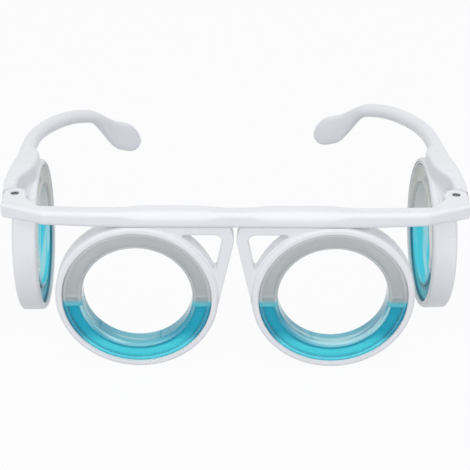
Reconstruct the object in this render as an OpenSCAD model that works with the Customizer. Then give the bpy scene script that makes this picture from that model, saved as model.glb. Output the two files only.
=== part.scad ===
// Motion sickness glasses: a lensless spectacle frame that carries four clear
// ring-shaped capsules, each half filled with blue liquid, two in front of the
// eyes and two beside them. The moving liquid levels show the eyes a horizon.
// Millimetres. The glasses stand on their four rings: X runs to the right as
// seen from the front, Y to the back, Z up.

/* [Rings] */
// Distance between the centres of the two front rings
eye_spacing = 63.5; // [60:0.5:68]
// Outer radius of every ring housing
ring_r = 26.4; // [25.8:0.1:27]
// Depth of every ring housing along its own axis
ring_depth = 8.2; // [8.2:0.1:9.4]
// Radius of the rounded rims of a ring housing
ring_edge = 1.2; // [0.6:0.1:1.2]
// Radial thickness of a ring housing's wall
housing_wall = 1.3; // [1:0.1:1.6]
// Thickness of the lip that a capsule is pushed up against
lip_t = 1; // [0.8:0.1:1.4]
// How far that lip covers the capsule's edge
lip_cover = 0.9; // [0.5:0.1:1.2]

/* [Capsules] */
// Radial width of a capsule, from its edge in to its open hole
capsule_w = 7.15; // [6.2:0.05:8]
// Depth of a closed capsule
capsule_depth = 7; // [6.4:0.1:7.1]
// Thickness of a capsule's walls and cover
capsule_wall = 0.9; // [0.8:0.05:1.1]
// Rounding of the capsule's inner edge at the lip side
capsule_round = 1.5; // [1:0.1:1.8]
// Height of the liquid's surface above the ring's centre
liquid_level = -3.2; // [-6:0.1:4]
// Radius of the plug that seals the filling hole
plug_r = 1; // [0.8:0.1:1.3]
// Radial width of the ring that locks a capsule in its housing
retainer_w = 0.7; // [0.5:0.05:0.7]

/* [Brow bar] */
// Height of the bar over the front rings
bar_h = 5.3; // [5.1:0.1:5.9]
// How much lower the bar is beyond the rings
bar_thinning = 0.4; // [0.3:0.05:0.6]
// Depth of the bar from front to back
bar_d = 5.5; // [5.2:0.1:6]
// Rounding of the bar's long edges
bar_round = 1.5; // [1:0.1:1.6]
// Softer rounding of the front upper edge over each eye
brow_round = 2.9; // [2:0.1:3]
// How far the bar sits down over the tops of the front rings
bar_sink = 0.25; // [0.2:0.05:0.5]
// Distance from the middle to where the bar starts to thin
bar_full = 40; // [39:0.5:46]
// Distance from the middle to where the bar's ends sweep back
bar_half = 60.5; // [58:0.5:61]
// How far the bar has bent back by there
bar_bow = 0.7; // [0.3:0.1:1]
// How far the thicker stretch over each eye stands out behind
brow_swell = 1.35; // [0.8:0.05:1.5]

/* [Nose struts] */
// Gap between the two nose struts just under the bar
strut_gap = 0.9; // [0.7:0.1:2]
// Width of a nose strut
strut_w = 2.9; // [2.6:0.1:3.6]
// Thickness of a strut and of the rail above its window
strut_t = 4; // [3.4:0.1:5]
// Height of the rail between the window and the bar
rail_h = 2.7; // [2.3:0.1:3.1]

/* [Temples] */
// Distance from the middle to each hinge axis
hinge_x = 70.7; // [70:0.1:71.5]
// Distance of the hinge axes behind the front face
hinge_y = 14.2; // [13.8:0.1:15]
// Distance of a side ring's centre behind its hinge axis
side_ring_back = 28.4; // [27.8:0.1:29.5]
// Distance from the hinge axis out to the outer face of the side ring
side_ring_out = 3.4; // [3:0.1:3.8]
// Slope of the cap over the side ring, in degrees
cap_slope = 8.5; // [7:0.5:10]
// Diameter of the round stretch of the arm
arm_d = 5.4; // [4.8:0.1:6]
// Length of the arm's straight stretch
arm_straight = 35.5; // [30:0.5:40]
// Radius of the bend that takes the arm round the head
arm_bend = 64; // [58:1:70]
// Angle of that bend, in degrees
arm_turn = 63; // [58:1:66]
// Downward slope of the arms where they start, as a share of their length
arm_fall = 0.165; // [0.14:0.005:0.2]
// Downward slope of the arms towards their tips
tip_fall = 0.44; // [0.36:0.01:0.5]
// Height of the flat paddle at the arm's tip
paddle_h = 12.5; // [10:0.1:14]
// Thickness of the paddle
paddle_t = 3.2; // [2.6:0.1:4]
// How far a fully open temple leans outwards, in degrees
temple_splay = 1.5; // [0:0.5:2]
// Rest angle of the left temple, folded inwards from fully open
left_fold = 0; // [0:0.5:1]
// Rest angle of the right temple, folded inwards from fully open
right_fold = 3.8; // [0:0.1:4.5]
// How far the right temple is set up at its rear, in degrees
right_lift = 1.9; // [0:0.1:2.2]

/* [Hinges] */
// Radius of the knuckle round each hinge axis
knuckle_r = 4.1; // [4:0.1:4.3]
// Thickness of the temple's eye between the two ears of the bar
eye_t = 1.8; // [1.6:0.1:2]
// Thickness of the lower ear, which the screw bites into
lower_ear_t = 1.15; // [1:0.05:1.3]
// Radius of the hinge screw's shank
screw_r = 0.8; // [0.7:0.05:0.9]
// Radius of the hinge screw's head
screw_head_r = 1.3; // [1.2:0.05:1.4]
// Height of the hinge screw's head
screw_head_h = 0.5; // [0.4:0.05:0.6]

/* [Fits] */
// Gap between a capsule or retainer and the housing round it
seat_gap = 0.05; // [0.03:0.01:0.1]
// Gap between the liquid and the walls that it turns against
liquid_gap = 0.1; // [0.08:0.01:0.2]
// Radial play of the temple's eye on the screw
hinge_play = 0.05; // [0.03:0.01:0.08]
// Gap above and below the temple's eye
eye_gap = 0.12; // [0.08:0.01:0.15]
// Gap between the knuckle and the temple's root round it
root_gap = 0.3; // [0.25:0.05:0.5]

/* [Hidden] */
$fn = 96;

// Sides of the frame
left = -1;
right = 1;

// Radii in a ring, from its outside in
pocket_r = ring_r - housing_wall;
capsule_r = pocket_r - seat_gap;
lip_r = pocket_r - lip_cover;
aperture_r = capsule_r - capsule_w;
cover_r = capsule_r - retainer_w - seat_gap;
chamber_outer = capsule_r - capsule_wall;
chamber_inner = aperture_r + capsule_wall;
chamber_mid = (chamber_outer + chamber_inner) / 2;

// Depths in a ring, from its lip side to its open side
cover_from = lip_t + capsule_depth - capsule_wall;
cover_land = 0.4;
capsule_back = lip_t + capsule_depth;

// Heights of the bar, which stands on the front rings
bar_bottom = 2 * ring_r - bar_sink;
bar_top = bar_bottom + bar_h;

// Heights in the hinge
block_round = 0.7;
block_bottom = bar_bottom + bar_thinning;
block_top = bar_top - 0.2;
eye_bottom = block_bottom + lower_ear_t + eye_gap;
eye_top = eye_bottom + eye_t;
screw_recess = 0.25;
screw_seat = block_top - screw_recess - screw_head_h;
root_r = knuckle_r + root_gap;

// Places in the temple, written for the right-hand one when fully open
ring_out_x = hinge_x + side_ring_out;
ring_in_x = ring_out_x - ring_depth;
ring_y = hinge_y + side_ring_back;
cap_top = block_top;
cap_out_x = hinge_x + 4.7;
cap_in_x = ring_in_x + 0.8;
cap_crease_y = ring_y - 7.4;
cap_from_y = hinge_y + 0.8;
strip_x = hinge_x + 0.2;
strip_from_y = hinge_y + 10.5;
strip_to_y = ring_y - 5.4;

// The cap turns into the round arm between these two places
merge_from_y = ring_y + 3.4;
merge_to_y = ring_y + 19.4;

// The arm's centre line starts inside the cap
arm_x = hinge_x + 1.85;
arm_y = ring_y - 8;
arm_z = cap_top - 2.5;
arm_tail = 1;
arm_length = arm_straight + arm_bend * arm_turn * PI / 180 + arm_tail;
paddle_from = 0.78;
paddle_full = 0.908;
paddle_drop = 0.96;
arm_steps = 36;
tip_steps = 10;
section_points = 24;

// The frame is centred on its own box. The open left temple leans out furthest.
arm_reach = arm_y + arm_straight + arm_bend * sin(arm_turn) + arm_tail * cos(arm_turn) - hinge_y;
arm_inset = arm_bend * (1 - cos(arm_turn)) + arm_tail * sin(arm_turn) - arm_x + hinge_x;
overall_depth = hinge_y + arm_reach + 0.3 * paddle_t * sin(arm_turn)
  + arm_inset * sin(temple_splay - left_fold);
left_reach = hinge_x + (arm_x - hinge_x) + arm_d / 2
  + (arm_y + arm_straight - hinge_y) * sin(temple_splay - left_fold);
right_reach = hinge_x + knuckle_r;
middle = [max(0, left_reach - right_reach) / 2, -overall_depth / 2, 0];

// Rises gently from 0 to 1 as t goes from 0 to 1
function ease(t) = let (c = min(1, max(0, t))) c * c * (3 - 2 * c);
function mix(a, b, t) = a + (b - a) * t;

// Places

// One side of the front frame
module on_side(side) {
  translate(middle) mirror([side == left ? 1 : 0, 0, 0]) children();
}

// One temple, turned about its hinge to its rest angle
module on_temple(side) {
  on_side(side)
    translate([hinge_x, hinge_y, 0])
      rotate([0, 0, (side == left ? left_fold : right_fold) - temple_splay])
        translate([-hinge_x, -hinge_y, 0])
          children();
}

// How far a temple is tilted up behind its hinge
function lift(side) = side == left ? 0 : right_lift;

module lifted(side) {
  translate([0, hinge_y, eye_bottom]) rotate([lift(side), 0, 0]) translate([0, -hinge_y, -eye_bottom]) children();
}

// A ring's own axes: Z runs from the lip side to the open side, -Y is up
module in_front_ring() {
  translate([eye_spacing / 2, 0, ring_r]) rotate([-90, 0, 0]) children();
}

module in_side_ring() {
  translate([ring_out_x, ring_y, ring_r]) rotate([0, 0, 90]) rotate([-90, 0, 0]) children();
}

module at_front(side) {
  on_side(side) in_front_ring() children();
}

module at_side(side) {
  on_temple(side) lifted(side) in_side_ring() children();
}

// The same, with the ring turned back level for the liquid in it
module level_side(side) {
  at_side(side) rotate([0, 0, lift(side)]) children();
}

// Ring sections, drawn with the radius across and the depth upwards

// A rectangle with round corners, from radius r0 to r1 and depth d0 to d1
module round_box(r0, r1, d0, d1, f) {
  translate([r0 + f, d0]) square([r1 - r0 - 2 * f, d1 - d0]);
  translate([r0, d0 + f]) square([r1 - r0, d1 - d0 - 2 * f]);
  for (r = [r0 + f, r1 - f], d = [d0 + f, d1 - f]) translate([r, d]) circle(f);
}

module housing_section() {
  difference() {
    round_box(ring_r - 8, ring_r, 0, ring_depth, ring_edge);
    translate([0, -1]) square([lip_r, ring_depth]);
    translate([0, lip_t]) square([pocket_r, ring_depth]);
  }
}

module capsule_section() {
  difference() {
    round_box(aperture_r, capsule_r, lip_t, ring_depth + 2, capsule_round);
    round_box(chamber_inner, chamber_outer, lip_t + capsule_wall, ring_depth + 3, 0.7);
    translate([0, cover_from]) square([ring_r, ring_depth]);
  }
}

module cover_section() {
  intersection() {
    round_box(aperture_r, cover_r, lip_t, capsule_back, 0.7);
    translate([0, cover_from]) square([ring_r, ring_depth]);
  }
  translate([chamber_inner + seat_gap, cover_from - cover_land])
    square([chamber_outer - chamber_inner - 2 * seat_gap, cover_land]);
}

module liquid_section() {
  round_box(
    chamber_inner + liquid_gap, chamber_outer - liquid_gap,
    lip_t + capsule_wall + liquid_gap, cover_from - cover_land - liquid_gap, 0.65
  );
}

// The locking ring lies on the channel's wall, round the edge of the cover
module retainer_section() {
  round_box(capsule_r - retainer_w, capsule_r, cover_from, capsule_back, 0.2);
}

// Ring pieces

module capsule_channel() {
  color("#dfe9ec", 0.5) rotate_extrude() capsule_section();
}

module capsule_cover() {
  color("#e6eef0", 0.5) difference() {
    rotate_extrude() cover_section();
    translate([0, -chamber_mid, 0]) cylinder(r = plug_r + seat_gap, h = ring_depth + 1);
  }
}

module fill_plug() {
  color("#cfdde1")
    translate([0, -chamber_mid, cover_from - cover_land])
      cylinder(r = plug_r, h = capsule_wall + cover_land);
}

// The liquid at rest fills the ring below its level
module liquid() {
  color("#22bcd6") intersection() {
    rotate_extrude() liquid_section();
    translate([-ring_r, -liquid_level, 0]) cube([2 * ring_r, 2 * ring_r, ring_depth]);
  }
}

module retainer() {
  color("#f1f2f5") rotate_extrude() retainer_section();
}

// The front frame

// Where the strut's outer edge leaves the ring, as a tangent from the bar's corner
strut_top = [strut_gap / 2, bar_bottom - 5.5];
ring_centre = [eye_spacing / 2, ring_r];
strut_reach = norm(strut_top - ring_centre);
strut_aim = atan2(strut_top.y - ring_centre.y, strut_top.x - ring_centre.x);
strut_meet_angle = strut_aim + acos((ring_r - 0.2) / strut_reach);
strut_meet = ring_centre + (ring_r - 0.2) * [cos(strut_meet_angle), sin(strut_meet_angle)];
strut_inward = [-cos(strut_meet_angle), -sin(strut_meet_angle)];

// The rail and the strut seen from the front, before the window is cut
module bracket_outline() {
  polygon([
    [strut_top.x + 1.2, bar_bottom],
    [strut_top.x + 0.5, bar_bottom - 1.7],
    [strut_top.x + 0.1, bar_bottom - 3.5],
    strut_top,
    strut_meet,
    ring_centre,
    [ring_centre.x, bar_bottom]
  ]);
}

// The three-cornered window between the ring, the rail and the strut: well
// rounded where the rail meets the strut and narrow in its other two corners
module window_outline() {
  edge_top = strut_top + strut_w * strut_inward;
  edge_low = strut_meet + strut_w * strut_inward;
  window_top = bar_bottom - rail_h;
  rail_corner = 2.6;
  tip = 0.6;
  offset(r = tip, $fn = 48) offset(delta = -tip) difference() {
    offset(r = rail_corner, $fn = 48) offset(delta = -rail_corner) polygon([
      [edge_top.x + 0.2, window_top],
      [ring_centre.x + 10, window_top],
      [ring_centre.x + 10, ring_centre.y - 20],
      edge_low + 0.6 * (edge_low - edge_top)
    ]);
    translate(ring_centre) circle(ring_r + 0.75);
  }
}

module upright(from_y, to_y) {
  translate([0, to_y, 0]) rotate([90, 0, 0]) linear_extrude(to_y - from_y) children();
}

tongue_from = eye_spacing / 2 - 23.75;
tongue_length = 20;
tongue_y = 1.9;
tongue_t = 1.8;
tongue_h = 1.6;

module front_housing() {
  bracket_y = 1;
  color("#f7f8fb") difference() {
    union() {
      in_front_ring() rotate_extrude() housing_section();
      difference() {
        upright(bracket_y, bracket_y + strut_t) bracket_outline();
        upright(-1, ring_depth) translate(ring_centre) circle(ring_r - 0.6);
        upright(-1, ring_depth) window_outline();
      }
      translate([tongue_from, tongue_y, bar_bottom - 1.5]) cube([tongue_length, tongue_t, tongue_h + 1.5]);
    }
    in_front_ring() translate([0, 0, lip_t]) cylinder(r = pocket_r, h = ring_depth);
    // The seat for the bar, with the tongue left standing in it
    difference() {
      translate([0, -1, bar_bottom]) cube([2 * ring_r + 20, bar_d + 1 + seat_gap, bar_h]);
      translate([tongue_from, tongue_y, 0]) cube([tongue_length, tongue_t, 3 * ring_r]);
    }
  }
}

// The brow bar

// The front face bends back a little, then sweeps to the corner of the end block
corner_x = hinge_x + 3.4;
corner_y = hinge_y - 8.1;
elbow_x = bar_half + 1.8;
function bow_y(x) = bar_bow * pow(min(1, max(0, (x - bar_full) / (bar_half - bar_full))), 1.5);
function sweep_y(x) = bow_y(x) + (corner_y - bar_bow) * max(0, x - bar_half) / (corner_x - bar_half);

// Share of the thicker stretch over the eye at a distance x from the middle
function brow_share(x) = ease((x - eye_spacing / 2 + 29) / 9) * ease((eye_spacing / 2 + 5 - x) / 7.5);

// Section of the bar there, as distances back and heights
function bar_section(x, inset = 0) =
  let (
    share = brow_share(x),
    front = sweep_y(x) + inset,
    back = bar_d + bow_y(x) - inset,
    swollen = back + brow_swell * share,
    bottom = bar_bottom + bar_thinning * min(1, max(0, (x - bar_full) / (bar_half - bar_full))) + inset,
    top = bar_top - inset,
    edge = bar_round - inset,
    brow = mix(bar_round, brow_round, share) - inset,
    heel = 1
  )
    concat(
      [for (a = [270 : -22.5 : 180]) [front + edge * (1 + cos(a)), bottom + edge * (1 + sin(a))]],
      [for (a = [180 : -15 : 90]) [front + brow * (1 + cos(a)), top - brow * (1 - sin(a))]],
      [for (a = [90 : -22.5 : 0]) [swollen - edge * (1 - cos(a)), top - edge * (1 - sin(a))]],
      [[swollen, bottom + heel + 1.3]],
      [for (a = [0 : -22.5 : -90]) [back - heel * (1 - cos(a)), bottom + heel * (1 + sin(a))]]
    );

// Distances from the middle at which the section changes
bar_places = concat(
  [0, 1.5],
  [for (i = [0 : 6]) eye_spacing / 2 - 29 + 1.5 * i],
  [for (i = [0 : 5]) eye_spacing / 2 - 2.5 + 1.5 * i],
  [for (i = [0 : 6]) mix(bar_full, bar_half, i / 6)],
  [elbow_x]
);

// The whole bar between the end blocks in one swept form
module bar_body() {
  count = len(bar_places);
  places = concat([for (i = [count - 1 : -1 : 1]) -bar_places[i]], bar_places);
  sections = [for (x = places) [for (p = bar_section(abs(x))) [x, p.x, p.y]]];
  n = len(sections[0]);
  last = len(places) - 1;
  polyhedron(
    points = [for (r = sections) each r],
    faces = concat(
      [[for (k = [n - 1 : -1 : 0]) k]],
      [for (i = [0 : last - 1], k = [0 : n - 1], half = [0, 1])
        let (near = i * n, far = near + n, next = (k + 1) % n)
          half == 0 ? [near + k, far + next, far + k] : [near + k, near + next, far + next]],
      [[for (k = [0 : n - 1]) last * n + k]]
    )
  );
}

// Round upper and lower corners of the end block at one place in plan
module block_corner(x, y, r) {
  for (z = [block_bottom + block_round, block_top - block_round]) translate([x, y, z]) sphere(r, $fn = 24);
}

// The swept end that carries the hinge, with the knuckle standing behind it
module end_block() {
  block_h = block_top - block_bottom;
  inner_x = hinge_x - 3.3;
  outer_x = corner_x - block_round;
  elbow_y = hinge_y - 2.9;
  hull() {
    translate([elbow_x - 0.3, 0, 0]) rotate([90, 0, 90]) linear_extrude(0.1, center = true)
      polygon(bar_section(elbow_x - 0.3, 0.04));
    block_corner(outer_x, corner_y + block_round, block_round);
    block_corner(outer_x, elbow_y, block_round);
    block_corner(inner_x, elbow_y, block_round);
  }
  hull() {
    block_corner(inner_x + 0.1, elbow_y - 0.6, block_round - 0.06);
    block_corner(outer_x - 0.1, elbow_y - 0.6, block_round - 0.06);
    translate([hinge_x, hinge_y, block_bottom]) cylinder(r = knuckle_r - block_round, h = block_h, $fn = 64);
    translate([hinge_x, hinge_y, block_bottom + block_round])
      cylinder(r = knuckle_r, h = block_h - 2 * block_round, $fn = 64);
  }
}

// What the temple's eye and the screw need inside one end block
module hinge_cuts() {
  translate([hinge_x, hinge_y, eye_bottom - eye_gap]) cylinder(r = root_r, h = eye_t + 2 * eye_gap);
  translate([hinge_x, hinge_y, block_bottom + 0.4]) cylinder(r = screw_r, h = bar_h);
  translate([hinge_x, hinge_y, screw_seat]) cylinder(r = screw_head_r + hinge_play, h = bar_h);
}

module tongue_slot() {
  translate([tongue_from - seat_gap, tongue_y - seat_gap, bar_bottom - 1])
    cube([tongue_length + 2 * seat_gap, tongue_t + 2 * seat_gap, tongue_h + seat_gap + 1]);
}

module brow_bar() {
  color("#f7f8fb") translate(middle) difference() {
    union() {
      bar_body();
      for (side = [0, 1]) mirror([side, 0, 0]) end_block();
    }
    for (side = [0, 1]) mirror([side, 0, 0]) {
      hinge_cuts();
      tongue_slot();
    }
  }
}

module hinge_screw() {
  color("#5b5f66") difference() {
    union() {
      translate([hinge_x, hinge_y, block_bottom + 0.5]) cylinder(r = screw_r, h = screw_seat - block_bottom - 0.3);
      translate([hinge_x, hinge_y, screw_seat]) cylinder(r = screw_head_r, h = screw_head_h);
    }
    for (turn = [0, 90])
      translate([hinge_x, hinge_y, screw_seat + screw_head_h]) rotate([0, 0, turn])
        cube([1.7, 0.4, 0.8], center = true);
  }
}

// The temples, all written for the right-hand one

// Outer edge of the strip and the cap, seen from above
function cap_outer_x(y) =
  cap_out_x - 0.6 * (1 - ease((y - cap_from_y) / 7)) - 1.2 * ease((y - hinge_y - 10) / 22);

// Inner edge of the strip, which widens backwards into the cap over the side ring
function cap_inner_x(y) = mix(strip_x, cap_in_x, ease((y - strip_from_y) / (strip_to_y - strip_from_y)));

// Height of the top face
function cap_top_z(y) = cap_top - max(0, y - cap_crease_y) * tan(cap_slope);

// Lower limit of the strip and cap, inside the ring where they stand on it
function cap_bottom_z(y) = lookup(y, [
  [hinge_y, block_bottom + 0.4],
  [hinge_y + 6, block_bottom - 2],
  [hinge_y + 9, ring_r + 17],
  [ring_y, 2 * ring_r - 5],
  [merge_to_y, 2 * ring_r - 7]
]);

// Height of the side ring's outer surface
function ring_top_z(y) = ring_r + sqrt(max(0, pow(ring_r, 2) - pow(y - ring_y, 2)));

// Section of the strip and cap at y: softly rounded on top, and flared out by a
// hollow fillet where its inner wall comes down on the ring
function cap_section(y) =
  let (
    out_x = cap_outer_x(y),
    in_x = cap_inner_x(y),
    top = cap_top_z(y),
    bottom = cap_bottom_z(y),
    outer_round = 0.9,
    inner_round = 1.3,
    foot = max(bottom + 0.3, ring_top_z(y) - 0.25),
    flare = 0.2 + ease((y - hinge_y - 6) / 8) * max(0, min(3.6, in_x - cap_in_x, top - inner_round - foot - 0.6))
  )
    concat(
      [[out_x, mix(bottom, top - outer_round, 0.6)]],
      [for (a = [0 : 22.5 : 90]) [out_x - outer_round * (1 - cos(a)), top - outer_round * (1 - sin(a))]],
      [[(out_x - outer_round + in_x + inner_round) / 2, top]],
      [for (a = [90 : 22.5 : 180]) [in_x + inner_round * (1 + cos(a)), top - inner_round * (1 - sin(a))]],
      [[in_x, (top - inner_round + foot + flare) / 2]],
      [for (a = [0 : 22.5 : 90]) [in_x - flare * (1 - cos(a)), foot + flare * (1 - sin(a))]],
      [for (t = [0 : 0.2 : 1]) [mix(in_x - flare, out_x, t), bottom]]
    );

// Heading of the arm's centre line in plan at a distance s along it, in degrees
function arm_heading(s) = min(arm_turn, max(0, (s - arm_straight) / arm_bend * 180 / PI));

// Slope of the centre line at a distance s
function arm_slope(s) =
  mix(arm_fall, tip_fall, ease((s - arm_straight - arm_length * 0.25) / (arm_length * 0.3)));

// Share of the paddle's form at a distance s
function paddle_share(s) = ease((s / arm_length - paddle_from) / (paddle_full - paddle_from));

// Plan position on the straight, the bend and the tail
function arm_plan(s) =
  let (a = arm_heading(s), past = max(0, s - arm_straight - arm_bend * arm_turn * PI / 180))
    [arm_x - arm_bend * (1 - cos(a)) - past * sin(a),
     arm_y + min(s, arm_straight) + arm_bend * sin(a) + past * cos(a)];

// The round section grows into a flat upright one and closes round the tip.
// Each point is its distance out from the centre line and its height.
function arm_section(s, z) =
  let (
    share = paddle_share(s),
    left_over = min(1, (arm_length - s) / (paddle_h / 2)),
    closing = sqrt(max(0.02, 1 - pow(1 - left_over, 2))),
    high = mix(arm_d, paddle_h, share) * closing,
    wide = mix(arm_d, paddle_t, share) * mix(1, 0.55 + 0.45 * closing, share),
    power = 2 / mix(2, 3.2, share)
  )
    [for (k = [0 : section_points - 1])
      let (t = 360 * k / section_points)
        [sign(cos(t)) * pow(abs(cos(t)), power) * wide / 2,
         z - paddle_drop * share * (paddle_h - arm_d) + sign(sin(t)) * pow(abs(sin(t)), power) * high / 2]];

// The cap's section turns into the arm's over the rear of the side ring
function temple_ring(s, z) =
  let (
    y = arm_y + s,
    share = ease((y - merge_from_y) / (merge_to_y - merge_from_y)),
    a = arm_heading(s),
    p = arm_plan(s),
    round_part = arm_section(s, z),
    flat_part = share < 1 ? cap_section(y) : round_part
  )
    [for (k = [0 : section_points - 1])
      let (
        flat_c = share < 1 ? flat_part[k].x - arm_x : 0,
        c = mix(flat_c, round_part[k].x, share),
        h = mix(flat_part[k].y, round_part[k].y, share)
      )
        [p.x + c * cos(a), p.y + c * sin(a), h]];

// Distances along the temple, counted from the start of the arm's centre line:
// close steps along the cap, even ones along the arm and closer ones round the tip
body_end = arm_length - paddle_h / 2;
merge_end = merge_to_y - arm_y;
temple_steps = concat(
  [for (y = [cap_from_y : 1.5 : merge_to_y - 0.8]) y - arm_y],
  [for (i = [0 : arm_steps]) mix(merge_end, body_end, i / arm_steps)],
  [for (i = [1 : tip_steps]) body_end + paddle_h / 2 * sin(90 * i / tip_steps)]
);
ring_count = len(temple_steps);

// Heights of the centre line, summed along those steps
temple_heights = [
  for (i = 0, z = arm_z - temple_steps[0] * arm_fall; i < ring_count;
       z = i + 1 < ring_count
         ? z - (temple_steps[i + 1] - temple_steps[i]) * arm_slope((temple_steps[i + 1] + temple_steps[i]) / 2)
         : z,
       i = i + 1) z
];

// Strip, cap, arm and paddle in one swept form
module temple_sweep() {
  rings = [for (i = [0 : ring_count - 1]) temple_ring(temple_steps[i], temple_heights[i])];
  n = section_points;
  polyhedron(
    points = [for (r = rings) each r],
    faces = concat(
      [[for (k = [n - 1 : -1 : 0]) k]],
      [for (i = [0 : ring_count - 2], k = [0 : n - 1], half = [0, 1])
        let (near = i * n, far = near + n, next = (k + 1) % n)
          half == 0 ? [near + k, far + next, far + k] : [near + k, near + next, far + next]],
      [[for (k = [0 : n - 1]) (ring_count - 1) * n + k]]
    )
  );
}

// Everything behind the hinge in one moulding, before the eye joins it
module temple_body() {
  difference() {
    union() {
      in_side_ring() rotate_extrude() housing_section();
      temple_sweep();
    }
    // Room for the capsule with its retainer
    in_side_ring() translate([0, 0, lip_t]) cylinder(r = pocket_r, h = 2 * ring_depth);
    in_side_ring() translate([0, 0, -ring_depth]) cylinder(r = lip_r, h = 2 * ring_depth);
  }
}

module temple(side) {
  color("#f7f8fb") difference() {
    union() {
      difference() {
        lifted(side) temple_body();
        // Room for the knuckle
        translate([hinge_x, hinge_y, block_bottom - root_gap]) cylinder(r = root_r, h = 2 * bar_h);
      }
      translate([hinge_x, hinge_y, eye_bottom]) cylinder(r = knuckle_r, h = eye_t);
      translate([hinge_x - 1, hinge_y, eye_bottom]) cube([4.4, knuckle_r + 2, eye_t]);
    }
    translate([hinge_x, hinge_y, 0]) cylinder(r = screw_r + hinge_play, h = 3 * ring_r);
  }
}

brow_bar();
on_side(left) front_housing();  // front_housing_left
on_side(right) front_housing();  // front_housing_right
on_temple(left) temple(left);  // temple_left
on_temple(right) temple(right);  // temple_right
at_front(left) capsule_channel();  // capsule_channel_front_left
at_front(right) capsule_channel();  // capsule_channel_front_right
at_side(left) capsule_channel();  // capsule_channel_side_left
at_side(right) capsule_channel();  // capsule_channel_side_right
at_front(left) capsule_cover();  // capsule_cover_front_left
at_front(right) capsule_cover();  // capsule_cover_front_right
at_side(left) capsule_cover();  // capsule_cover_side_left
at_side(right) capsule_cover();  // capsule_cover_side_right
at_front(left) liquid();  // liquid_front_left
at_front(right) liquid();  // liquid_front_right
level_side(left) liquid();  // liquid_side_left
level_side(right) liquid();  // liquid_side_right
at_front(left) retainer();  // retainer_front_left
at_front(right) retainer();  // retainer_front_right
at_side(left) retainer();  // retainer_side_left
at_side(right) retainer();  // retainer_side_right
at_front(left) fill_plug();  // fill_plug_front_left
at_front(right) fill_plug();  // fill_plug_front_right
at_side(left) fill_plug();  // fill_plug_side_left
at_side(right) fill_plug();  // fill_plug_side_right
on_side(left) hinge_screw();  // hinge_screw_left
on_side(right) hinge_screw();  // hinge_screw_right
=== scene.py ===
import math

import bpy
from mathutils import Matrix, Vector


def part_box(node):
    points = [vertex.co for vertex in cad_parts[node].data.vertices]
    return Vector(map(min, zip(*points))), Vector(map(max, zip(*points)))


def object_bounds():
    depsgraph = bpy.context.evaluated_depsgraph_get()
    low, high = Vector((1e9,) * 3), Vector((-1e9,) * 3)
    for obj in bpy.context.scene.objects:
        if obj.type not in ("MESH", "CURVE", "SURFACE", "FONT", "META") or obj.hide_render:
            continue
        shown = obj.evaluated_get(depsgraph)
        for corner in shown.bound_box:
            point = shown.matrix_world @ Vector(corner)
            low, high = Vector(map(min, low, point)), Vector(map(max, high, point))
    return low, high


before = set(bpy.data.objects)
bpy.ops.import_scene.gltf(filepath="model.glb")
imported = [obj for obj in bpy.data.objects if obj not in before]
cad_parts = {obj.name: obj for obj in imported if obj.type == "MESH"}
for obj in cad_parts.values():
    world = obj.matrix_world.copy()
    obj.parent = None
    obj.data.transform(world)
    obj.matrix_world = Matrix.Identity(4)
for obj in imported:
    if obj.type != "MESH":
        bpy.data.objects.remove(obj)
cad_box = [list(corner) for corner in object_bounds()]

# Brow bar: one straight injection moulding in white ABS over both eyes. Its
# swept-back ends carry the hinge ears, and the mould leaves it glossy with
# softly rounded edges.


def linear_colour(hex_text):
    channels = [int(hex_text[i:i + 2], 16) / 255 for i in (1, 3, 5)]
    return [c / 12.92 if c <= 0.04045 else ((c + 0.055) / 1.055) ** 2.4 for c in channels] + [1.0]


def add_node(tree, kind, settings=None, values=None, links=None):
    node = tree.nodes.new(kind)
    for name, value in (settings or {}).items():
        setattr(node, name, value)
    for name, value in (values or {}).items():
        node.inputs[name].default_value = value
    for name, source in (links or {}).items():
        tree.links.new(source, node.inputs[name])
    return node


def new_material(name):
    material = bpy.data.materials.new(name)
    material.use_nodes = True
    material.node_tree.nodes.clear()
    return material, material.node_tree


def give_material(obj, material):
    obj.data.materials.clear()
    obj.data.materials.append(material)


# A mix node's sockets go by number: the share of the second input, the two
# numbers or colours that are mixed, and what comes out
SHARE = 0
NUMBER_A, NUMBER_B, MIXED_NUMBER = 2, 3, 0
COLOUR_A, COLOUR_B, MIXED_COLOUR = 6, 7, 2

# White ABS from a polished mould: bright, very slightly cool white with a clean
# soft gloss. The mould's edges are eased by 0.6 mm and rubbed a little brighter
# by handling. The flow of the plastic leaves a faint cloudiness, drawn at 9 mm,
# and wiping leaves hair-fine marks in the gloss, drawn coarser than life.
CLOUD_MM = 9
WIPING_MM = 0.7
EASED_RADIUS = 0.0006
RIPPLE_DEPTH = 0.0002
MOULD_GLOSS = (0.27, 0.31)
RUBBED_GLOSS = 0.2

abs_white, tree = new_material("white_moulded_abs")
place = add_node(tree, "ShaderNodeTexCoord")
cloud = add_node(tree, "ShaderNodeTexNoise",
                 values={"Scale": 1000 / CLOUD_MM, "Detail": 2.0, "Roughness": 0.45},
                 links={"Vector": place.outputs["Object"]})
tint = add_node(tree, "ShaderNodeMix", {"data_type": "RGBA"},
                {COLOUR_A: linear_colour("#F2F2F6"), COLOUR_B: linear_colour("#F7F7FA")},
                {SHARE: cloud.outputs["Fac"]})
eased = add_node(tree, "ShaderNodeBevel", {"samples": 6}, {"Radius": EASED_RADIUS})
surface = add_node(tree, "ShaderNodeNewGeometry")
turn = add_node(tree, "ShaderNodeVectorMath", {"operation": "DOT_PRODUCT"},
                links={0: eased.outputs["Normal"], 1: surface.outputs["Normal"]})
rubbed = add_node(tree, "ShaderNodeMapRange", values={"From Min": 1.0, "From Max": 0.9},
                  links={"Value": turn.outputs["Value"]})
worn_tint = add_node(tree, "ShaderNodeMix", {"data_type": "RGBA"}, {COLOUR_B: linear_colour("#F8F9FB")},
                     {SHARE: rubbed.outputs["Result"], COLOUR_A: tint.outputs[MIXED_COLOUR]})
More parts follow.
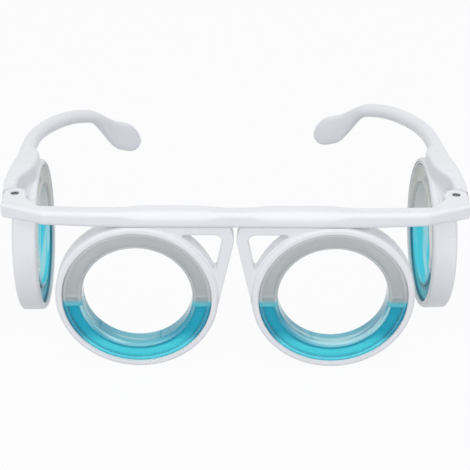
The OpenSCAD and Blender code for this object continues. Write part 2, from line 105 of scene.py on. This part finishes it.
along = add_node(tree, "ShaderNodeMapping", {"vector_type": "TEXTURE"},
                 {"Scale": (9.0, 3.0, 1.0), "Rotation": (0.0, 0.0, 0.3)},
                 {"Vector": place.outputs["Object"]})
wiping = add_node(tree, "ShaderNodeTexNoise", values={"Scale": 1000 / WIPING_MM, "Detail": 3.0},
                  links={"Vector": along.outputs["Vector"]})
gloss = add_node(tree, "ShaderNodeMapRange",
                 values={"From Min": 0.3, "From Max": 0.7,
                         "To Min": MOULD_GLOSS[0], "To Max": MOULD_GLOSS[1]},
                 links={"Value": wiping.outputs["Fac"]})
polished = add_node(tree, "ShaderNodeMix", {"data_type": "FLOAT"}, {NUMBER_B: RUBBED_GLOSS},
                    {SHARE: rubbed.outputs["Result"], NUMBER_A: gloss.outputs["Result"]})
ripple = add_node(tree, "ShaderNodeBump", values={"Strength": 0.02, "Distance": RIPPLE_DEPTH},
                  links={"Height": cloud.outputs["Fac"], "Normal": eased.outputs["Normal"]})
shader = add_node(tree, "ShaderNodeBsdfPrincipled", values={"IOR": 1.5},
                  links={"Base Color": worn_tint.outputs[MIXED_COLOUR],
                         "Roughness": polished.outputs[MIXED_NUMBER],
                         "Normal": ripple.outputs["Normal"]})
add_node(tree, "ShaderNodeOutputMaterial", links={"Surface": shader.outputs["BSDF"]})

give_material(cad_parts["brow_bar"], abs_white)

# Front ring housings: each is moulded in the same white ABS with its rail,
# window and nose strut, and hangs from the bar by a tongue.

for side in ("left", "right"):
    give_material(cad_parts["front_housing_" + side], abs_white)

# Temples: one long moulding each in the same white ABS, from the hinge eye over
# the side ring to the flat paddle behind the ear.

for side in ("left", "right"):
    give_material(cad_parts["temple_" + side], abs_white)

# Retainers: thin white ABS rings pushed in behind the capsules, a little
# duller than the frame because their moulds are not polished. The grain that
# the mould leaves is drawn coarser than life.

GRAIN_MM = 0.8
GRAIN_DEPTH = 0.0001

abs_satin, tree = new_material("white_satin_abs")
place = add_node(tree, "ShaderNodeTexCoord")
grain = add_node(tree, "ShaderNodeTexNoise", values={"Scale": 1000 / GRAIN_MM, "Detail": 2.0},
                 links={"Vector": place.outputs["Object"]})
tint = add_node(tree, "ShaderNodeMix", {"data_type": "RGBA"},
                {COLOUR_A: linear_colour("#EDEEF1"), COLOUR_B: linear_colour("#F3F4F6")},
                {SHARE: grain.outputs["Fac"]})
matt = add_node(tree, "ShaderNodeBump", values={"Strength": 0.08, "Distance": GRAIN_DEPTH},
                links={"Height": grain.outputs["Fac"]})
shader = add_node(tree, "ShaderNodeBsdfPrincipled", values={"IOR": 1.54, "Roughness": 0.42},
                  links={"Base Color": tint.outputs[MIXED_COLOUR], "Normal": matt.outputs["Normal"]})
add_node(tree, "ShaderNodeOutputMaterial", links={"Surface": shader.outputs["BSDF"]})

RING_PLACES = [(row, side) for row in ("front", "side") for side in ("left", "right")]
for row, side in RING_PLACES:
    give_material(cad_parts["retainer_%s_%s" % (row, side)], abs_satin)

# Capsules: an annular channel and its flat cover in clear polycarbonate,
# polished mouldings welded together. Their dry walls are painted grey, a painted
# reflection of the dim inside of the chamber, so the empty part of a capsule
# looks pale grey and not white.

# The walls are thin, so they are drawn see-through and without bending the
# light. A dry wall carries a painted reflection of the grey inside of the
# chamber and covers half of what is behind it, and one that the liquid wets
# turns clear. A film of the liquid stays on the wall for up to three
# millimetres above its surface, and its colour also carries painted light. The
# upright walls are painted with the colour they would gather from beside them:
# grey above, and blue below, the palest at the hole, a painted light where the
# liquid behind them is lit from both sides. The wall of the hole carries
# painted reflections of bright and dim parts of the room as streaks round it.
# The side rings face each other and the dim space between them, so they gloss
# less. The first of two wet tints, painted brighter, is for the foot of a ring.
POLYCARBONATE_IOR = 1.585
WALL_IORS = {"front": POLYCARBONATE_IOR, "side": 1.1}
WALL_GLOSS = {"Roughness": 0.06, "Coat Roughness": 0.03, "Coat IOR": 1.5}
COAT_WEIGHTS = {"front": 0.5, "side": 0.0}
FLOW_MM = 8
REFLECTION_STREAK_MM = 1.8
REFLECTION_STREAK_SCALES = {"front": (0.06, 1.0, 0.06), "side": (1.0, 0.06, 0.06)}
REFLECTION_STREAK_SHARE = 0.7
WAVE_DEPTH = 0.0002

DRY_REFLECTION_TINTS = {"front": ("#C2C9CA", "#CED2D2"), "side": ("#ECEEE6", "#F6F7F0")}
TOP_LIGHT_TINTS = {"front": "#E6E9E9", "side": "#FAFAF5"}
FACE_TINT = "#8FD6E2"
OUTER_WALL_LIGHT_TINTS = {"front": ("#5CF0FF", "#12A8C8"), "side": ("#1F8FA9", "#1F8FA9")}
HOLE_WALL_LIGHT_TINTS = {"front": ("#63C8DA", "#20A8C5"), "side": ("#58E8FC", "#58E8FC")}
REFLECTION_STREAK_TINT = "#D0FCFF"
FILM_AND_LIGHT_TINT = "#4FD8E8"

# How much a wall covers of what is behind it
DRY_COVER = 0.5
FACE_COVERS = {"front": 0.03, "side": 0.1}
UPRIGHT_COVER = 0.88
FILM_COVER = 0.75

# Heights above the floor, where the dry walls turn brighter with painted light and the foot ends
TOP_LIGHT_FROM, TOP_LIGHT_TO = 0.027, 0.049
FOOT_FROM, FOOT_TO = 0.0085, 0.0130

# Heights above the liquid's surface, where walls turn wet and the film ends
WET_FROM, WET_TO = 0.0024, 0.0002
FILM_TOP_FROM, FILM_TOP_TO = 0.0031, 0.0002
FILM_FOOT_FROM, FILM_FOOT_TO = -0.0002, 0.0003

# Distances from the ring's axis, measured in its plane, to the upright walls
RING_PLANES = {"front": (1.0, 0.0, 1.0), "side": (0.0, 1.0, 1.0)}
INNER_RADII = {"front": (0.0193, 0.0188), "side": (0.0187, 0.0184)}
OUTER_FROM, OUTER_TO = 0.0228, 0.0233


def radius_in_ring(tree, place, row, side):
    low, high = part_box("capsule_channel_%s_%s" % (row, side))
    centre = [(low[i] + high[i]) / 2 for i in range(3)]
    from_centre = add_node(tree, "ShaderNodeVectorMath", {"operation": "SUBTRACT"}, {1: centre},
                           {0: place.outputs["Object"]})
    in_plane = add_node(tree, "ShaderNodeVectorMath", {"operation": "MULTIPLY"}, {1: RING_PLANES[row]},
                        {0: from_centre.outputs["Vector"]})
    radius = add_node(tree, "ShaderNodeVectorMath", {"operation": "LENGTH"},
                      links={0: in_plane.outputs["Vector"]})
    return from_centre, radius


for row, side in RING_PLACES:
    surface_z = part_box("liquid_%s_%s" % (row, side))[1][2]
    polycarbonate, tree = new_material("clear_channel_%s_%s" % (row, side))
    place = add_node(tree, "ShaderNodeTexCoord")
    flow = add_node(tree, "ShaderNodeTexNoise", values={"Scale": 1000 / FLOW_MM, "Detail": 2.0},
                    links={"Vector": place.outputs["Object"]})
    height = add_node(tree, "ShaderNodeSeparateXYZ", links={"Vector": place.outputs["Object"]})
    radius = radius_in_ring(tree, place, row, side)[1]

    # The dry wall is painted grey, a painted reflection of the dim inside of the chamber.
    dry_reflection = add_node(tree, "ShaderNodeMix", {"data_type": "RGBA"},
                   {COLOUR_A: linear_colour(DRY_REFLECTION_TINTS[row][0]), COLOUR_B: linear_colour(DRY_REFLECTION_TINTS[row][1])},
                   {SHARE: flow.outputs["Fac"]})
    # Painted light: the dry wall is painted brighter towards the top.
    top_light = add_node(tree, "ShaderNodeMapRange", values={"From Min": TOP_LIGHT_FROM, "From Max": TOP_LIGHT_TO},
                       links={"Value": height.outputs["Z"]})
    dry_reflection = add_node(tree, "ShaderNodeMix", {"data_type": "RGBA"}, {COLOUR_B: linear_colour(TOP_LIGHT_TINTS[row])},
                   {SHARE: top_light.outputs["Result"], COLOUR_A: dry_reflection.outputs[MIXED_COLOUR]})

    wet = add_node(tree, "ShaderNodeMapRange", {"interpolation_type": "SMOOTHSTEP"},
                   {"From Min": surface_z + WET_FROM, "From Max": surface_z + WET_TO},
                   {"Value": height.outputs["Z"]})
    inner_wall = add_node(tree, "ShaderNodeMapRange", {"interpolation_type": "SMOOTHSTEP"},
                          {"From Min": INNER_RADII[row][0], "From Max": INNER_RADII[row][1]},
                          {"Value": radius.outputs["Value"]})
    outer_wall = add_node(tree, "ShaderNodeMapRange", {"interpolation_type": "SMOOTHSTEP"},
                          {"From Min": OUTER_FROM, "From Max": OUTER_TO},
                          {"Value": radius.outputs["Value"]})
    above_foot = add_node(tree, "ShaderNodeMapRange", {"interpolation_type": "SMOOTHSTEP"},
                          {"From Min": FOOT_FROM, "From Max": FOOT_TO}, {"Value": height.outputs["Z"]})
    # Painted reflection: bright streaks of the room drawn round the wall of the hole.
    drawn_out = add_node(tree, "ShaderNodeMapping", values={"Scale": REFLECTION_STREAK_SCALES[row]},
                         links={"Vector": place.outputs["Object"]})
    mirrored_room = add_node(tree, "ShaderNodeTexNoise", values={"Scale": 1000 / REFLECTION_STREAK_MM, "Detail": 1.0},
                        links={"Vector": drawn_out.outputs["Vector"]})
    reflection_streaks = add_node(tree, "ShaderNodeMapRange", {"interpolation_type": "SMOOTHSTEP"},
                       {"From Min": 0.48, "From Max": 0.64, "To Max": REFLECTION_STREAK_SHARE},
                       {"Value": mirrored_room.outputs["Fac"]})
    # Painted light in the upright walls: the liquid's colour seen through them, palest at the foot and at the
    # hole.
    hole_wall_light = add_node(tree, "ShaderNodeMix", {"data_type": "RGBA"},
                         {COLOUR_A: linear_colour(HOLE_WALL_LIGHT_TINTS[row][0]),
                          COLOUR_B: linear_colour(HOLE_WALL_LIGHT_TINTS[row][1])},
                         {SHARE: above_foot.outputs["Result"]})
    hole_wall_light = add_node(tree, "ShaderNodeMix", {"data_type": "RGBA"}, {COLOUR_B: linear_colour(REFLECTION_STREAK_TINT)},
                         {SHARE: reflection_streaks.outputs["Result"], COLOUR_A: hole_wall_light.outputs[MIXED_COLOUR]})
    outer_wall_light = add_node(tree, "ShaderNodeMix", {"data_type": "RGBA"},
                          {COLOUR_A: linear_colour(OUTER_WALL_LIGHT_TINTS[row][0]),
                           COLOUR_B: linear_colour(OUTER_WALL_LIGHT_TINTS[row][1])},
                          {SHARE: above_foot.outputs["Result"]})
    wet_tint = add_node(tree, "ShaderNodeMix", {"data_type": "RGBA"}, {COLOUR_A: linear_colour(FACE_TINT)},
                        {SHARE: outer_wall.outputs["Result"], COLOUR_B: outer_wall_light.outputs[MIXED_COLOUR]})
    wet_tint = add_node(tree, "ShaderNodeMix", {"data_type": "RGBA"},
                        links={SHARE: inner_wall.outputs["Result"], COLOUR_A: wet_tint.outputs[MIXED_COLOUR],
                               COLOUR_B: hole_wall_light.outputs[MIXED_COLOUR]})
    tint = add_node(tree, "ShaderNodeMix", {"data_type": "RGBA"},
                    links={SHARE: wet.outputs["Result"], COLOUR_A: dry_reflection.outputs[MIXED_COLOUR],
                           COLOUR_B: wet_tint.outputs[MIXED_COLOUR]})

    cover = add_node(tree, "ShaderNodeMapRange", values={"To Min": DRY_COVER, "To Max": FACE_COVERS[row]},
                     links={"Value": wet.outputs["Result"]})
    upright = add_node(tree, "ShaderNodeMath", {"operation": "MAXIMUM"},
                       links={0: inner_wall.outputs["Result"], 1: outer_wall.outputs["Result"]})
    cover = add_node(tree, "ShaderNodeMix", {"data_type": "FLOAT"}, {NUMBER_B: UPRIGHT_COVER},
                     {SHARE: upright.outputs[0], NUMBER_A: cover.outputs["Result"]})

    # The band near the surface is partly a film of the liquid and partly painted light that brightens the
    # zone the housing shades.
    film_top = add_node(tree, "ShaderNodeMapRange", {"interpolation_type": "SMOOTHSTEP"},
                        {"From Min": surface_z + FILM_TOP_FROM, "From Max": surface_z + FILM_TOP_TO},
                        {"Value": height.outputs["Z"]})
    film_foot = add_node(tree, "ShaderNodeMapRange", {"interpolation_type": "SMOOTHSTEP"},
                         {"From Min": surface_z + FILM_FOOT_FROM, "From Max": surface_z + FILM_FOOT_TO},
                         {"Value": height.outputs["Z"]})
    film_and_light = add_node(tree, "ShaderNodeMath", {"operation": "MULTIPLY"},
                    links={0: film_top.outputs["Result"], 1: film_foot.outputs["Result"]})
    tint = add_node(tree, "ShaderNodeMix", {"data_type": "RGBA"}, {COLOUR_B: linear_colour(FILM_AND_LIGHT_TINT)},
                    {SHARE: film_and_light.outputs[0], COLOUR_A: tint.outputs[MIXED_COLOUR]})
    cover = add_node(tree, "ShaderNodeMix", {"data_type": "FLOAT"}, {NUMBER_B: FILM_COVER},
                     {SHARE: film_and_light.outputs[0], NUMBER_A: cover.outputs[MIXED_NUMBER]})
    wave = add_node(tree, "ShaderNodeBump", values={"Strength": 0.03, "Distance": WAVE_DEPTH},
                    links={"Height": flow.outputs["Fac"]})
    shader = add_node(tree, "ShaderNodeBsdfPrincipled",
                      values={"IOR": WALL_IORS[row], "Coat Weight": COAT_WEIGHTS[row], **WALL_GLOSS},
                      links={"Base Color": tint.outputs[MIXED_COLOUR], "Alpha": cover.outputs[MIXED_NUMBER],
                             "Normal": wave.outputs["Normal"]})
    add_node(tree, "ShaderNodeOutputMaterial", links={"Surface": shader.outputs["BSDF"]})
    give_material(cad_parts["capsule_channel_%s_%s" % (row, side)], polycarbonate)

# Capsule covers: flat polycarbonate rings welded on behind the channels. Where
# the liquid wets them they turn clear. On the side rings they face the head, and
# their wet part is painted deep blue towards the bar, as painted shade, and pale
# further back.

COVER_TINTS_AND_SHADE = {"front": ("#8FD6E2", "#8FD6E2"), "side": ("#1C93B0", "#6CEBF8")}
WET_COVERS = {"front": 0.03, "side": 0.1}
FAR_HALF_FROM, FAR_HALF_TO = -0.004, 0.004
EDGE_FROM, EDGE_TO = 0.0003, -0.0004

for row, side in RING_PLACES:
    surface_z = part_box("liquid_%s_%s" % (row, side))[1][2]
    clear_cover, tree = new_material("clear_cover_%s_%s" % (row, side))
    place = add_node(tree, "ShaderNodeTexCoord")
    flow = add_node(tree, "ShaderNodeTexNoise", values={"Scale": 1000 / FLOW_MM, "Detail": 2.0},
                    links={"Vector": place.outputs["Object"]})
    # The dry part of the cover is painted the same grey reflection as the channel.
    dry_reflection = add_node(tree, "ShaderNodeMix", {"data_type": "RGBA"},
                   {COLOUR_A: linear_colour(DRY_REFLECTION_TINTS[row][0]), COLOUR_B: linear_colour(DRY_REFLECTION_TINTS[row][1])},
                   {SHARE: flow.outputs["Fac"]})
    from_centre = radius_in_ring(tree, place, row, side)[0]
    backward = add_node(tree, "ShaderNodeSeparateXYZ", links={"Vector": from_centre.outputs["Vector"]})
    # On the side rings the wet cover is painted deep blue towards the bar, as painted shade, and pale further
    # back.
    far_half = add_node(tree, "ShaderNodeMapRange", {"interpolation_type": "SMOOTHSTEP"},
                        {"From Min": FAR_HALF_FROM, "From Max": FAR_HALF_TO},
                        {"Value": backward.outputs["Y"]})
    wet_tint = add_node(tree, "ShaderNodeMix", {"data_type": "RGBA"},
                        {COLOUR_A: linear_colour(COVER_TINTS_AND_SHADE[row][0]),
                         COLOUR_B: linear_colour(COVER_TINTS_AND_SHADE[row][1])},
                        {SHARE: far_half.outputs["Result"]})
    height = add_node(tree, "ShaderNodeSeparateXYZ", links={"Vector": place.outputs["Object"]})
    wet = add_node(tree, "ShaderNodeMapRange", {"interpolation_type": "SMOOTHSTEP"},
                   {"From Min": surface_z + EDGE_FROM, "From Max": surface_z + EDGE_TO},
                   {"Value": height.outputs["Z"]})
    tint = add_node(tree, "ShaderNodeMix", {"data_type": "RGBA"},
                    links={SHARE: wet.outputs["Result"], COLOUR_A: dry_reflection.outputs[MIXED_COLOUR],
                           COLOUR_B: wet_tint.outputs[MIXED_COLOUR]})
    cover = add_node(tree, "ShaderNodeMapRange", values={"To Min": DRY_COVER, "To Max": WET_COVERS[row]},
                     links={"Value": wet.outputs["Result"]})
    shader = add_node(tree, "ShaderNodeBsdfPrincipled",
                      values={"IOR": POLYCARBONATE_IOR, "Coat Weight": COAT_WEIGHTS[row], **WALL_GLOSS},
                      links={"Base Color": tint.outputs[MIXED_COLOUR], "Alpha": cover.outputs["Result"]})
    add_node(tree, "ShaderNodeOutputMaterial", links={"Surface": shader.outputs["BSDF"]})
    give_material(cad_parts["capsule_cover_%s_%s" % (row, side)], clear_cover)

# Fill plugs: small round plugs of milky polycarbonate pressed into the covers
# once the liquid is in. Their faint cloudiness is drawn coarser than life.

MILK_MM = 0.7

milky_plug, tree = new_material("milky_polycarbonate_plug")
place = add_node(tree, "ShaderNodeTexCoord")
cloud = add_node(tree, "ShaderNodeTexNoise", values={"Scale": 1000 / MILK_MM, "Detail": 2.0},
                 links={"Vector": place.outputs["Object"]})
tint = add_node(tree, "ShaderNodeMix", {"data_type": "RGBA"},
                {COLOUR_A: linear_colour("#BFC8CB"), COLOUR_B: linear_colour("#D2D9DB")},
                {SHARE: cloud.outputs["Fac"]})
shader = add_node(tree, "ShaderNodeBsdfPrincipled",
                  values={"IOR": POLYCARBONATE_IOR, "Roughness": 0.3, "Transmission Weight": 0.5},
                  links={"Base Color": tint.outputs[MIXED_COLOUR]})
add_node(tree, "ShaderNodeOutputMaterial", links={"Surface": shader.outputs["BSDF"]})

for row, side in RING_PLACES:
    give_material(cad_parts["fill_plug_%s_%s" % (row, side)], milky_plug)

# Liquid: clear cyan-blue dyed water that fills the lower part of each capsule
# and keeps level as the head tilts.

# The capsule's thick outer edge gathers light on the deepest part of the liquid,
# so its outermost band is painted brighter, as painted light, and beside the
# channel's inner corner a thin line of painted shade and a thin painted highlight
# are drawn. The top surface carries a painted reflection of the grey walls and
# ends in a thin line of painted shade where the liquid climbs the front wall.
RING_AXES = {"front": (0.0, 1.0, 0.0), "side": (1.0, 0.0, 0.0)}
DYES = {"front": ("#1CAECB", "#2AC2DE"), "side": ("#12C2DC", "#20CCE4")}
SWIRL_MM = 14
DEEPEST_FROM, DEEPEST_TO = 0.0140, 0.0068
PAINTED_EDGE_LIGHT_BANDS = ((0.0201, 0.0209, "#5CF4FF"), (0.0202, 0.0198, "#18A2C0"), (0.0197, 0.0193, "#8CDCEA"))
CLIMB_FROM, CLIMB_TO = -0.0009, -0.0002
CLIMB_SHADE_TINT = "#0A7490"
SURFACE_REFLECTION_TINTS = ("#62F0FF", "#C6DCE0")
BACK_FROM, BACK_TO = -0.0022, 0.0022

for row, side in RING_PLACES:
    surface_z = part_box("liquid_%s_%s" % (row, side))[1][2]
    blue_liquid, tree = new_material("dyed_blue_liquid_%s_%s" % (row, side))
    place = add_node(tree, "ShaderNodeTexCoord")
    height = add_node(tree, "ShaderNodeSeparateXYZ", links={"Vector": place.outputs["Object"]})
    from_centre, radius = radius_in_ring(tree, place, row, side)
    swirl = add_node(tree, "ShaderNodeTexNoise", values={"Scale": 1000 / SWIRL_MM, "Detail": 2.0},
                     links={"Vector": place.outputs["Object"]})
    tint = add_node(tree, "ShaderNodeMix", {"data_type": "RGBA"},
                    {COLOUR_A: linear_colour(DYES[row][0]), COLOUR_B: linear_colour(DYES[row][1])},
                    {SHARE: swirl.outputs["Fac"]})
    # Painted light: the deepest outer band is painted brighter, with a thin line of painted shade and a thin
    # painted highlight inside it.
    deepest = add_node(tree, "ShaderNodeMapRange", {"interpolation_type": "SMOOTHSTEP"},
                       {"From Min": DEEPEST_FROM, "From Max": DEEPEST_TO}, {"Value": height.outputs["Z"]})
    for near, far, colour in PAINTED_EDGE_LIGHT_BANDS:
        light_band = add_node(tree, "ShaderNodeMapRange", {"interpolation_type": "SMOOTHSTEP"},
                        {"From Min": near, "From Max": far}, {"Value": radius.outputs["Value"]})
        share = add_node(tree, "ShaderNodeMath", {"operation": "MULTIPLY"},
                         links={0: light_band.outputs["Result"], 1: deepest.outputs["Result"]})
        tint = add_node(tree, "ShaderNodeMix", {"data_type": "RGBA"}, {COLOUR_B: linear_colour(colour)},
                        {SHARE: share.outputs[0], COLOUR_A: tint.outputs[MIXED_COLOUR]})
    # Painted shade: a thin dark line where the liquid climbs the front wall.
    climb_shade = add_node(tree, "ShaderNodeMapRange", {"interpolation_type": "SMOOTHSTEP"},
                     {"From Min": surface_z + CLIMB_FROM, "From Max": surface_z + CLIMB_TO},
                     {"Value": height.outputs["Z"]})
    tint = add_node(tree, "ShaderNodeMix", {"data_type": "RGBA"}, {COLOUR_B: linear_colour(CLIMB_SHADE_TINT)},
                    {SHARE: climb_shade.outputs["Result"], COLOUR_A: tint.outputs[MIXED_COLOUR]})

    # Painted reflection: the top surface is painted pale grey at the back, mirroring the walls, and bright
    # cyan at the front.
    across = add_node(tree, "ShaderNodeVectorMath", {"operation": "DOT_PRODUCT"}, {1: RING_AXES[row]},
                      {0: from_centre.outputs["Vector"]})
    backward = add_node(tree, "ShaderNodeMapRange", {"interpolation_type": "SMOOTHSTEP"},
                        {"From Min": BACK_FROM, "From Max": BACK_TO}, {"Value": across.outputs["Value"]})
    surface_reflection = add_node(tree, "ShaderNodeMix", {"data_type": "RGBA"},
                            {COLOUR_A: linear_colour(SURFACE_REFLECTION_TINTS[0]),
                             COLOUR_B: linear_colour(SURFACE_REFLECTION_TINTS[1])},
                            {SHARE: backward.outputs["Result"]})
    facing = add_node(tree, "ShaderNodeSeparateXYZ", links={"Vector": place.outputs["Normal"]})
    upward = add_node(tree, "ShaderNodeMapRange", values={"From Min": 0.85, "From Max": 0.95},
                      links={"Value": facing.outputs["Z"]})
    tint = add_node(tree, "ShaderNodeMix", {"data_type": "RGBA"},
                    links={SHARE: upward.outputs["Result"], COLOUR_A: tint.outputs[MIXED_COLOUR],
                           COLOUR_B: surface_reflection.outputs[MIXED_COLOUR]})
    shader = add_node(tree, "ShaderNodeBsdfPrincipled",
                      values={"IOR": 1.04, "Roughness": 0.05, "Transmission Weight": 0.08},
                      links={"Base Color": tint.outputs[MIXED_COLOUR]})
    add_node(tree, "ShaderNodeOutputMaterial", links={"Surface": shader.outputs["BSDF"]})
    give_material(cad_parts["liquid_%s_%s" % (row, side)], blue_liquid)

# Hinge screws: small crosshead machine screws in blackened steel, one in each
# hinge block. A painted highlight is drawn bright in the middle of the head, and
# the wear in the blackening is drawn coarser than life.

WEAR_MM = 0.4
GLINT_FROM, GLINT_TO = 0.0007, 0.0004

for side in ("left", "right"):
    low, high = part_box("hinge_screw_" + side)
    head_middle = ((low[0] + high[0]) / 2, (low[1] + high[1]) / 2, 0.0)
    blackened_steel, tree = new_material("blackened_steel_" + side)
    place = add_node(tree, "ShaderNodeTexCoord")
    wear = add_node(tree, "ShaderNodeTexNoise", values={"Scale": 1000 / WEAR_MM, "Detail": 3.0},
                    links={"Vector": place.outputs["Object"]})
    blackened = add_node(tree, "ShaderNodeMix", {"data_type": "RGBA"},
                         {COLOUR_A: linear_colour("#4C4E52"), COLOUR_B: linear_colour("#7A7D82")},
                         {SHARE: wear.outputs["Fac"]})
    from_axis = add_node(tree, "ShaderNodeVectorMath", {"operation": "SUBTRACT"}, {1: head_middle},
                         {0: place.outputs["Object"]})
    level = add_node(tree, "ShaderNodeVectorMath", {"operation": "MULTIPLY"}, {1: (1.0, 1.0, 0.0)},
                     {0: from_axis.outputs["Vector"]})
    from_middle = add_node(tree, "ShaderNodeVectorMath", {"operation": "LENGTH"},
                           links={0: level.outputs["Vector"]})
    # Painted highlight: the middle of the screw head is drawn bright.
    painted_glint = add_node(tree, "ShaderNodeMapRange", {"interpolation_type": "SMOOTHSTEP"},
                      {"From Min": GLINT_FROM, "From Max": GLINT_TO},
                      {"Value": from_middle.outputs["Value"]})
    tint = add_node(tree, "ShaderNodeMix", {"data_type": "RGBA"}, {COLOUR_B: linear_colour("#D9DBDE")},
                    {SHARE: painted_glint.outputs["Result"], COLOUR_A: blackened.outputs[MIXED_COLOUR]})
    shader = add_node(tree, "ShaderNodeBsdfPrincipled", values={"Metallic": 1.0, "Roughness": 0.38},
                      links={"Base Color": tint.outputs[MIXED_COLOUR]})
    add_node(tree, "ShaderNodeOutputMaterial", links={"Surface": shader.outputs["BSDF"]})
    give_material(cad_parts["hinge_screw_" + side], blackened_steel)

# Studio: a pale floor, a bright even room and two large soft lamps, one above
# and one in front. The floor keeps a faint shadow of the glasses.

FLOOR_SIZE = 6.0
FLOOR_SHARE = 0.95
ROOM_STRENGTH = 0.6
WHITE = (1, 1, 1, 1)

bpy.ops.object.select_all(action="DESELECT")
bpy.ops.mesh.primitive_plane_add(size=FLOOR_SIZE, location=(0, 0, 0))
floor = bpy.context.object
floor.name = "floor"


def seen_share(tree):
    rays = add_node(tree, "ShaderNodeLightPath")
    seen = add_node(tree, "ShaderNodeMath", {"operation": "MAXIMUM"},
                    links={0: rays.outputs["Is Camera Ray"], 1: rays.outputs["Is Glossy Ray"]})
    return add_node(tree, "ShaderNodeMath", {"operation": "MAXIMUM"},
                    links={0: seen.outputs[0], 1: rays.outputs["Is Transmission Ray"]})


floor_paint, tree = new_material("pale_floor")
seen = seen_share(tree)
share = add_node(tree, "ShaderNodeMath", {"operation": "MULTIPLY"}, {1: FLOOR_SHARE}, {0: seen.outputs[0]})
matt = add_node(tree, "ShaderNodeBsdfDiffuse", values={"Color": linear_colour("#C5C7CA")})
white = add_node(tree, "ShaderNodeEmission", values={"Color": WHITE, "Strength": 1.0})
blend = add_node(tree, "ShaderNodeMixShader",
                 links={0: share.outputs[0], 1: matt.outputs[0], 2: white.outputs[0]})
add_node(tree, "ShaderNodeOutputMaterial", links={"Surface": blend.outputs[0]})
give_material(floor, floor_paint)

world = bpy.data.worlds.new("room")
bpy.context.scene.world = world
world.use_nodes = True
tree = world.node_tree
tree.nodes.clear()
seen = seen_share(tree)
room = add_node(tree, "ShaderNodeBackground",
                values={"Color": linear_colour("#F5F7FA"), "Strength": ROOM_STRENGTH})
white = add_node(tree, "ShaderNodeBackground", values={"Color": WHITE, "Strength": 1.0})
blend = add_node(tree, "ShaderNodeMixShader",
                 links={0: seen.outputs[0], 1: room.outputs[0], 2: white.outputs[0]})
add_node(tree, "ShaderNodeOutputWorld", links={"Surface": blend.outputs[0]})

# Each lamp's name, place, size in metres and power in watts
LAMPS = [("top_lamp", (0.06, -0.28, 0.62), 0.9, 1.75), ("front_lamp", (-0.25, -1.0, 0.2), 1.3, 3.6)]
LAMP_TARGET = Vector((0, -0.02, 0.03))
for name, place, size, power in LAMPS:
    bpy.ops.object.light_add(type="AREA", location=place)
    lamp = bpy.context.object
    lamp.name = name
    lamp.data.shape = "DISK"
    lamp.data.size = size
    lamp.data.energy = power
    lamp.rotation_euler = (LAMP_TARGET - Vector(place)).to_track_quat("-Z", "Y").to_euler()

# Camera: a long lens in front of the glasses, some 30 degrees above them. Its
# place, turn and focal length were fitted to the photograph.

PICTURE_WIDTH = 470
FOCAL_LENGTH_IN_PIXELS = 1252.43
SENSOR_WIDTH = 36.0
CAMERA_DISTANCE = 0.39217
CAMERA_HEIGHT_ANGLE = 0.5157
CAMERA_TURN = 0.002
CAMERA_ROLL = 0.0032
AIM = Vector((0.00088, cad_box[0][1], 0.050514))
heading = Vector((math.sin(CAMERA_TURN) * math.cos(CAMERA_HEIGHT_ANGLE),
                  -math.cos(CAMERA_TURN) * math.cos(CAMERA_HEIGHT_ANGLE),
                  math.sin(CAMERA_HEIGHT_ANGLE)))
bpy.ops.object.camera_add(location=AIM + CAMERA_DISTANCE * heading)
camera = bpy.context.object
camera.data.sensor_width = SENSOR_WIDTH
camera.data.lens = FOCAL_LENGTH_IN_PIXELS / PICTURE_WIDTH * SENSOR_WIDTH
camera.data.clip_start = 0.01
facing_glasses = heading.to_track_quat("Z", "Y").to_matrix()
camera.rotation_euler = (facing_glasses @ Matrix.Rotation(CAMERA_ROLL, 3, "Z")).to_euler()
bpy.context.scene.camera = camera
bpy.context.scene.view_settings.view_transform = "Standard"
